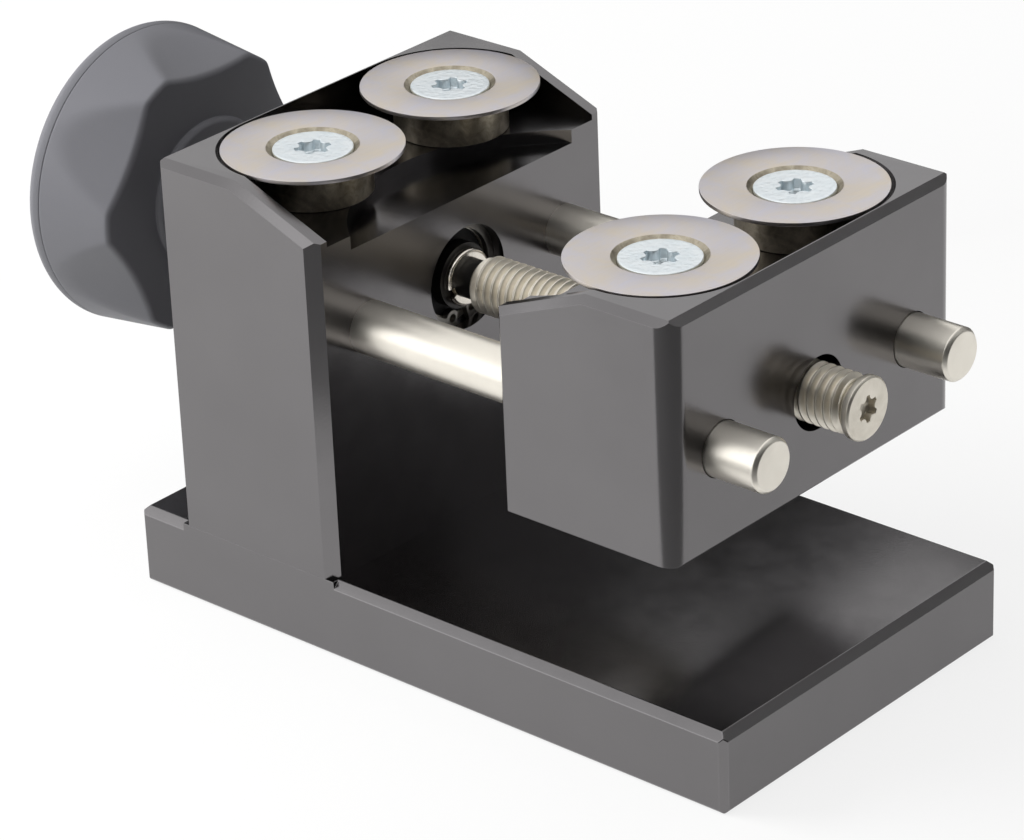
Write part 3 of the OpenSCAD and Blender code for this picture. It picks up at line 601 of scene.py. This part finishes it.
def helical_thread(per_turn=72):
    """Sweeps one tooth along the helix, then trims it at both ends."""
    # Along the screw as a share of the pitch, and inwards as a share of the tooth
    tooth = [(0.0, 0.03), (0.05, 0.0), (0.12, 0.0), (0.17, 0.03), (0.47, 0.94), (0.53, 1.0),
             (0.62, 1.0), (0.68, 0.94)]
    turns = int((thread_to - thread_from) / PITCH) + 3
    steps = turns * per_turn
    bm = bmesh.new()
    rows = []
    for i in range(steps + 1):
        turn = 2 * math.pi * i / per_turn
        start = thread_from - 1.5 * PITCH + PITCH * i / per_turn
        rows.append([])
        for share, drop in tooth:
            x = start + share * PITCH
            inset = min(x - thread_from, thread_to - x)
            r = min(THREAD_R - TOOTH * drop, THREAD_R - THREAD_CHAMFER + max(inset, 0))
            rows[-1].append(bm.verts.new(Vector((
                r * math.cos(turn), r * math.sin(turn), x - spindle_from)) * MM))
    for i in range(steps):
        for j in range(len(tooth) - 1):
            bm.faces.new((rows[i][j], rows[i + 1][j], rows[i + 1][j + 1], rows[i][j + 1]))
        if i + per_turn < steps:
            bm.faces.new((rows[i][-1], rows[i + 1][-1], rows[i + 1 + per_turn][0],
                          rows[i + per_turn][0]))
    for at, way in ((thread_from, -1), (thread_to, 1)):
        everything = bm.verts[:] + bm.edges[:] + bm.faces[:]
        cut = bmesh.ops.bisect_plane(bm, geom=everything, dist=1e-7,
                                     plane_co=(0, 0, (at - spindle_from) * MM),
                                     plane_no=(0, 0, way), clear_outer=True)
        rim = [e for e in cut["geom_cut"] if isinstance(e, bmesh.types.BMEdge)]
        bmesh.ops.holes_fill(bm, edges=rim, sides=0)
    return bm


def lead_screw_core():
    """The plain shaft inside, with its circlip groove, its flat and its threaded ends."""
    groove_from, groove_to, groove_r = -17.0, -16.22, 2.65
    chamfer, neck_r, front_bore_depth, back_bore_to = 0.3, 3.3, 10, -65.7
    outline = rounded([
        (BORE_R, back_bore_to), (BORE_R, spindle_from), (SHAFT_R - chamfer, spindle_from),
        (SHAFT_R, spindle_from + chamfer), (SHAFT_R, groove_from), (groove_r, groove_from),
        (groove_r, groove_to), (SHAFT_R, groove_to), (SHAFT_R, thread_from),
        (SHAFT_R, thread_to - 1), (neck_r, thread_to - 1), (neck_r, spindle_to),
        (BORE_R, spindle_to), (BORE_R, spindle_to - front_bore_depth),
    ], 0.06)
    # The flat for the knob ends in a small step, so the shaft gets two more rings there
    flat_to, flat_at, step = -67.7, 2.5, 0.01
    past_flat = [x > flat_to and abs(r - SHAFT_R) < 1e-6 for r, x in outline].index(True)
    outline[past_flat:past_flat] = [(SHAFT_R, flat_to), (SHAFT_R, flat_to + step)]
    turn = angles(96)
    stack = []
    for r, x in outline:
        made = ring(r, x - spindle_from, turn)
        if x <= flat_to:
            made[:, 0] = np.maximum(made[:, 0], -flat_at)
        stack.append(made)
    return skinned(stack)


screw_mesh = helical_thread()
points, faces = lead_screw_core()
made = [screw_mesh.verts.new(Vector(p) * MM) for p in points]
for face in faces:
    screw_mesh.faces.new([made[i] for i in face])
bmesh.ops.recalc_face_normals(screw_mesh, faces=screw_mesh.faces)
screw = place_piece("threaded_spindle", screw_mesh, (spindle_from, 0, SPINDLE_Z), thread_steel,
                    "spindle", ["lead_screw"], ALONG_X, sharp=30)
# Painted shade: the plain shaft's neck behind the thread gets the dark steel, for the shade in the
# narrow neck
screw.data.materials.append(dark_steel)
shade_from, shade_to = NECK_SHADE_FROM - spindle_from, thread_from + 0.3 - spindle_from
for face in screw.data.polygons:
    middle = face.center / MM
    if shade_from < middle.z < shade_to and math.hypot(middle.x, middle.y) < SHAFT_R + 0.2:
        face.material_index = 1

# %% [markdown]
# ## The star knob
#
# The knob is a slightly flared cone with six shallow flutes that run out before the rim. Each
# flute is part of a big leaning cylinder. A Boolean would leave knife edges where a flute meets
# the cone, while the moulded knob has soft ones. So the radius is worked out for every angle
# and height: it is the smaller of the cone's and the flute's, blended smoothly where they meet.

# %% Knob surface
KNOB_FACE_X = -68.7
KNOB_H = 16.5
RIM_R = 23.65
RIM_ROUND = 2.0
INNER_R = 22.0
LOBES = 6
FLUTE_R = 42.0
FLUTE_FLOOR = 19.1
FLUTE_L = 11.8
FLUTE_TURN = math.radians(3.8)
SEAM_H = 13.5
EDGE_BLEND = 0.5


def cone_radius(height):
    """Radius of the knob's cone at a height above its inner face."""
    return INNER_R + (RIM_R - INNER_R) * height / (KNOB_H - RIM_ROUND)


def flute_radius(off, height):
    """Radius at which a ray, off by an angle from a flute's middle, meets the flute."""
    lean = math.atan2(cone_radius(FLUTE_L) - FLUTE_FLOOR, FLUTE_L)
    # The flute lies between these radii in mm, and halving the gap 40 times finds it
    low, high = np.full_like(off, 10.0), np.full_like(off, 40.0)
    for _ in range(40):
        middle = (low + high) / 2
        across = (middle * np.cos(off) - FLUTE_FLOOR) * math.cos(lean) - height * math.sin(lean)
        bulge = FLUTE_R - np.sqrt(FLUTE_R ** 2 - (middle * np.sin(off)) ** 2)
        outside = across > bulge
        high = np.where(outside, middle, high)
        low = np.where(outside, low, middle)
    return (low + high) / 2


def smooth_smaller(a, b, blend):
    """The smaller of two radii, rounded off where they are nearly equal."""
    return np.minimum(a, b) - np.maximum(blend - np.abs(a - b), 0) ** 2 / (4 * blend)


def knob_radius(turn, height):
    """Radius of the knob's side at each angle, at one height."""
    pitch = 2 * math.pi / LOBES
    off = (turn - FLUTE_TURN + pitch / 2) % pitch - pitch / 2
    return smooth_smaller(cone_radius(height), flute_radius(off, height), EDGE_BLEND)


face = knob_radius(angles(LOBES * 48), 0)
print("knob's inner face, radius in mm:", face.min().round(2), "to", face.max().round(2))

# %% Knob body
FACE_ROUND = 0.8
BOSS_R = 12.0
BOSS_H = 1.0
BOSS_BEVEL = 0.6
FACE_FROM = BOSS_R + 1.2
BUSH_R = 6
BUSH_END = 7
SCREW_HOLE_R = 4
SEAT_R = 15
SEAT_H = 11.5
turn = angles(LOBES * 48)
# Up the bush's hole to the boss and out to the face, then round the side and back inside
boss = rounded([
    (BUSH_R, 5), (BUSH_R, -BOSS_H, 0.15), (BOSS_R - BOSS_BEVEL, -BOSS_H, 0.3),
    (BOSS_R, BOSS_BEVEL - BOSS_H, 0.3), (BOSS_R, 0, 0.35), (FACE_FROM, 0),
], 0.1)
knob_rings = [ring(r, h, turn) for r, h in boss]
face_edge = knob_radius(turn, 0) - FACE_ROUND
knob_rings += [ring(FACE_FROM + share * (face_edge - FACE_FROM), 0, turn)
               for share in (0.35, 0.7)]
for step in np.linspace(0, math.pi / 2, 7):
    h = FACE_ROUND * (1 - math.cos(step))
    knob_rings.append(ring(knob_radius(turn, h) - FACE_ROUND * (1 - math.sin(step)), h, turn))
knob_rings += [ring(knob_radius(turn, h), h, turn) for h in np.linspace(1.1, SEAM_H - 0.18, 44)]
knob_rings += [ring(knob_radius(turn, SEAM_H) - drop, SEAM_H - lift, turn)
               for drop, lift in ((0.03, 0.09), (0.12, 0.03), (0.3, 0.0))]
knob_rings += [ring(r, h, turn) for r, h in (
    (SEAT_R, SEAM_H), (SEAT_R, SEAT_H), (SCREW_HOLE_R, SEAT_H), (SCREW_HOLE_R, BUSH_END),
    (BUSH_R, BUSH_END))]
new_piece("star_knob", [skinned(knob_rings, joined=True)], (KNOB_FACE_X, 0, SPINDLE_Z),
          knob_plastic, "spindle", ["knob"], ALONG_MINUS_X, sharp=38)

# %% Knob cap
CAP_CENTRE = 0.5
arc_r = RIM_R - RIM_ROUND
arc_h = KNOB_H - RIM_ROUND
cap_outline = rounded([
    (CAP_CENTRE, SEAT_H), (SEAT_R, SEAT_H, 0.3), (SEAT_R, SEAM_H, 0.05),
    (cone_radius(SEAM_H) - 0.02, SEAM_H, 0.2), (RIM_R, arc_h, 0.3),
], 0.1)
cap_outline += [(arc_r + RIM_ROUND * math.cos(a), arc_h + RIM_ROUND * math.sin(a))
                for a in np.linspace(0.08, math.pi / 2, 10)]
cap_outline += [(12, KNOB_H), (CAP_CENTRE, KNOB_H)]
new_piece("knob_back_cap", [turned(cap_outline, LOBES * 48)], (KNOB_FACE_X, 0, SPINDLE_Z),
          knob_plastic, "spindle", ["knob_cap"], ALONG_MINUS_X, sharp=38)

# %% [markdown]
# ## Circlips and the parts that stay as CAD made them
#
# The circlip on the spindle shows as a broad bright ring, so it is swept anew with a rounded
# section, and drawn a little larger than in the CAD model. The bearing's circlip, the screws
# under the plate and the sleeve behind the fixed jaw get broken edges like the milled pieces.
# The other pieces, such as the bushes, the bearing's rings and what is inside the knob, are
# right as they are. They only need their finish.

# %% Circlips and base screws
def split_ring(section, mouth_at, mouth_wide, steps=80):
    """Sweeps a closed (radius, height) section round, and leaves a mouth at an angle in
    degrees."""
    first = mouth_at + mouth_wide / 2
    turn = np.radians(np.linspace(first, first - mouth_wide + 360, steps))
    stack = [np.array([(r * math.cos(t), r * math.sin(t), h) for r, h in section]) for t in turn]
    return skinned(stack)


CLIP_BORE_R = 2.68
CLIP_R = 4.4
CLIP_T = 1.3
MOUTH_AT = -72
MOUTH_WIDE = 22
low, high = corners("spindle_circlip")
seam = (CLIP_BORE_R + 0.22, 0)
section = rounded([
    seam, (CLIP_BORE_R, 0, 0.1), (CLIP_BORE_R, CLIP_T, 0.1), (CLIP_R, CLIP_T, 0.5),
    (CLIP_R, 0, 0.2), seam,
], 0.1)[:-1]
clip = split_ring(section, MOUTH_AT, MOUTH_WIDE)
new_piece("spindle_circlip_bright", [clip], (low[0], 0, SPINDLE_Z),
          spring_steel, "spindle", ["spindle_circlip"], ALONG_X, sharp=35)
softened("bearing_circlip", "bearing_circlip_dark", 0.08, grey_steel, "stand", 2)
softened("base_screws", "base_cap_screws", 0.15, dark_steel, "stand", 2)
softened("distance_sleeve", "distance_sleeve_dark", 0.15, dark_steel, "spindle", 2)

# %% Finishes of the other CAD nodes
FINISHES = {
    rod_steel: ["base_dowels", "bearing_outer_ring", "bearing_inner_ring", "bearing_balls"],
    dark_steel: ["bearing_spacer", "rod_grub_screws", "nut_grub_screw", "knob_screw"],
    bearing_bronze: ["bearing_cage", "rear_bush", "knob_bush", "lead_nut",
                     "guide_bush_near_inner", "guide_bush_near_outer",
                     "guide_bush_far_inner", "guide_bush_far_outer"],
    seal_rubber: ["bearing_seals"],
}
for material, nodes in FINISHES.items():
    for node in nodes:
        for index in range(len(frame["nodes"][node].material_slots)):
            frame["nodes"][node].material_slots[index].material = material
    print(material.name, "on", len(nodes), "nodes")
unfinished = [n for n, o in frame["nodes"].items()
              if not o.hide_render and n not in sum(FINISHES.values(), [])]
print("nodes without a finish:", unfinished)

# %% [markdown]
# ## The studio
#
# In the photo the tool looks as if it stood on white paper under a bright ceiling, in a room
# with dim walls and a window on the left. The camera and mirrored rays see the background as
# plain white, which Light Path does without adding light. The dim walls are two dark curtains
# and a grey screen that the camera does not see. The black metal mirrors them, and that is what
# makes the base plate's top dark while the upright faces, which mirror the paper, are light.
#
# The paper ends just in front of the tool on a grey table, so the upright edges that face the
# camera are darker, as in the photo. A second sheet goes on from there, and only the camera
# sees it. Near the tool the paper keeps some shading for the shadow, and further out it fades
# to pure white, so its edges don't show. Two of the softboxes aren't mirrored: they light the
# paper and the knob, and leave the greys of the metal alone.

# %% World
def seen_and_mirrored(tree):
    """Two sockets: one is 1 for a ray from the camera, and the other for one from a mirror or
    a glass."""
    rays = add_node(tree, "LightPath")
    mirrored = add_node(tree, "Math", {0: rays.outputs["Is Glossy Ray"],
                                       1: rays.outputs["Is Transmission Ray"]}, operation="ADD")
    return rays.outputs["Is Camera Ray"], mirrored.outputs["Value"]


SKY_ON_DIFFUSE = 0.25
world = bpy.data.worlds.new("white_ceiling")
scene.world = world
world.use_nodes = True
tree = world.node_tree
tree.nodes.clear()
seen, mirrored = seen_and_mirrored(tree)
either = add_node(tree, "Math", {0: seen, 1: mirrored}, operation="ADD", use_clamp=True)
level = add_node(tree, "Mix", {0: either.outputs["Value"], 2: SKY_ON_DIFFUSE, 3: 1.0},
                 data_type="FLOAT")
background = add_node(tree, "Background", {"Color": (1, 1, 1, 1), "Strength": level.outputs[0]})
add_node(tree, "OutputWorld", {"Surface": background.outputs["Background"]})
print(world.name, "lights the tool with", SKY_ON_DIFFUSE, "of the white that the camera sees")

# %% White paper
# How much of the paper is plain white near the tool, for the camera and for mirrored rays. For
# the camera it grows to all of it between two distances from the tool's middle, in mm.
SHARE_SEEN = 0.82
SHARE_MIRRORED = 0.62
PAPER_FADES = (130, 480)
paper, tree, place = start_material("paper_white")
fibre = add_node(tree, "TexNoise", {"Vector": place, "Scale": per_mm(1.5), "Detail": 3.0})
tone = add_node(tree, "Mix", {0: fibre.outputs["Fac"], 6: srgb("#f1f1f0"), 7: srgb("#f5f5f4")},
                data_type="RGBA")
matt = add_node(tree, "BsdfPrincipled", {"Base Color": tone.outputs[2], "Roughness": 0.9,
                                         "Specular IOR Level": 0.1})
glow = add_node(tree, "Emission", {"Color": (1, 1, 1, 1), "Strength": 1.0})
seen, mirrored = seen_and_mirrored(tree)
distance = add_node(tree, "VectorMath", {0: place}, operation="LENGTH")
burnt_out = add_node(tree, "MapRange", {
    "Value": distance.outputs["Value"], "From Min": PAPER_FADES[0] * MM,
    "From Max": PAPER_FADES[1] * MM, "To Min": SHARE_SEEN, "To Max": 1.0})
looked_at = add_node(tree, "Math", {0: seen, 1: burnt_out.outputs["Result"]},
                     operation="MULTIPLY")
share = add_node(tree, "Math", {0: mirrored, 1: SHARE_MIRRORED, 2: looked_at.outputs["Value"]},
                 operation="MULTIPLY_ADD")
both = add_node(tree, "MixShader", {0: share.outputs["Value"], 1: matt.outputs["BSDF"],
                                    2: glow.outputs["Emission"]})
add_node(tree, "OutputMaterial", {"Surface": both.outputs["Shader"]})
print(paper.name, "fades to plain white from", PAPER_FADES[0], "to", PAPER_FADES[1], "mm")


# %% Paper and table in place
def plain_cloth(name, colour):
    """A dull woven cloth, whose threads are drawn at 1 mm."""
    material, tree, place = start_material(name)
    weave = add_node(tree, "TexNoise", {"Vector": place, "Scale": per_mm(1), "Detail": 2.0})
    bump = add_node(tree, "Bump", {"Height": weave.outputs["Fac"], "Distance": 0.1 * MM})
    shader = add_node(tree, "BsdfPrincipled", {"Base Color": srgb(colour), "Roughness": 0.95,
                                               "Normal": bump.outputs["Normal"]})
    add_node(tree, "OutputMaterial", {"Surface": shader.outputs["BSDF"]})
    return material


def stage_piece(name, points, faces, material, seen_by_camera=False, mirrored=True):
    """Adds a piece of the studio, given in mm, which isn't part of the tool. One that the metal
    doesn't mirror doesn't light the tool either."""
    mesh = bpy.data.meshes.new(name)
    mesh.from_pydata([Vector(p) * MM for p in points], [], faces)
    mesh.materials.append(material)
    piece = bpy.data.objects.new(name, mesh)
    piece.visible_camera = seen_by_camera
    piece.visible_shadow = seen_by_camera and mirrored
    piece.visible_glossy = mirrored
    piece.visible_diffuse = mirrored
    scene.collection.objects.link(piece)
    print(f"{name}: a studio piece, seen by the camera: {seen_by_camera}")


PAPER_HALF = 1200
PAPER_FRONT = 92
PAPER_Z = -0.02
ahead = Vector((towards_camera.x, towards_camera.y, 0)).normalized()
across = Vector((-ahead.y, ahead.x, 0))


def sheet_on_table(front, back, z):
    """Corners of a level sheet whose front edge faces the camera."""
    level = Vector((0, 0, z))
    return [ahead * a + across * b + level for a, b in (
        (front, -PAPER_HALF), (front, PAPER_HALF), (back, PAPER_HALF), (back, -PAPER_HALF))]


stage_piece("paper", sheet_on_table(PAPER_FRONT, -PAPER_HALF, PAPER_Z), [(0, 1, 2, 3)], paper,
            seen_by_camera=True)
stage_piece("paper_in_front", sheet_on_table(PAPER_HALF, PAPER_FRONT, PAPER_Z), [(0, 1, 2, 3)],
            paper, seen_by_camera=True, mirrored=False)
stage_piece("table", sheet_on_table(PAPER_HALF, -PAPER_HALF, PAPER_Z - 1), [(0, 1, 2, 3)],
            plain_cloth("felt_grey", "#8c8c8c"))

# %% Curtains and screen
# Stations of a hung cloth: azimuth in degrees, then distance and height in mm. The left curtain
# stands close behind the tool, where the base plate mirrors it and the discs look over it.
CURTAIN_RIGHT = [(-85, 430, 520), (28, 430, 520)]
SCREEN_BEHIND = [(28, 430, 420), (45, 430, 420), (75, 400, 400)]
CURTAIN_LEFT = [(75, 400, 308), (90, 240, 170), (104, 140, 80), (116, 140, 111),
                (127, 140, 118), (134, 140, 102), (150, 140, 100), (170, 160, 110)]


def hung_cloth(name, stations, cloth, steps=31):
    """Hangs a cloth over stations of azimuth, distance and height."""
    stops, reaches, heights = zip(*stations)
    turn = np.linspace(stops[0], stops[-1], steps)
    reach = np.interp(turn, stops, reaches)
    out = np.column_stack([np.cos(np.radians(turn)) * reach, np.sin(np.radians(turn)) * reach])
    foot = np.column_stack([out, np.full(steps, PAPER_Z)])
    hem = np.column_stack([out, np.interp(turn, stops, heights)])
    faces = [(i, i + 1, steps + i + 1, steps + i) for i in range(steps - 1)]
    stage_piece(name, np.concatenate([foot, hem]), faces, cloth)


dark_cotton = plain_cloth("cotton_dark_grey", "#333333")
hung_cloth("curtain_right", CURTAIN_RIGHT, dark_cotton)
hung_cloth("screen_behind", SCREEN_BEHIND, plain_cloth("linen_grey", "#969696"))
hung_cloth("curtain_left", CURTAIN_LEFT, dark_cotton, 61)


# %% Softboxes
LIT_POINT = Vector((0, 0, 40)) * MM


def softbox(name, at, size, power, mirrored=True):
    """A soft light of a width and height in mm that looks at the middle of the tool. The metal
    needn't mirror it."""
    data = bpy.data.lights.new(name, "AREA")
    data.shape = "RECTANGLE"
    data.size, data.size_y = (side * MM for side in size)
    data.energy = power
    lamp = bpy.data.objects.new(name, data)
    lamp.location = Vector(at) * MM
    lamp.rotation_mode = "QUATERNION"
    lamp.rotation_quaternion = (LIT_POINT - lamp.location).to_track_quat("-Z", "Y")
    lamp.visible_glossy = mirrored
    scene.collection.objects.link(lamp)


softbox("window_left", (-340, -520, 250), (960, 400), 0.85)
softbox("softbox_front", (-96, -440, 581), (420, 420), 0.35)
softbox("softbox_top", (-60, 60, 750), (760, 760), 2.0, mirrored=False)
softbox("softbox_behind_left", (-600, -320, 430), (400, 400), 7.0, mirrored=False)
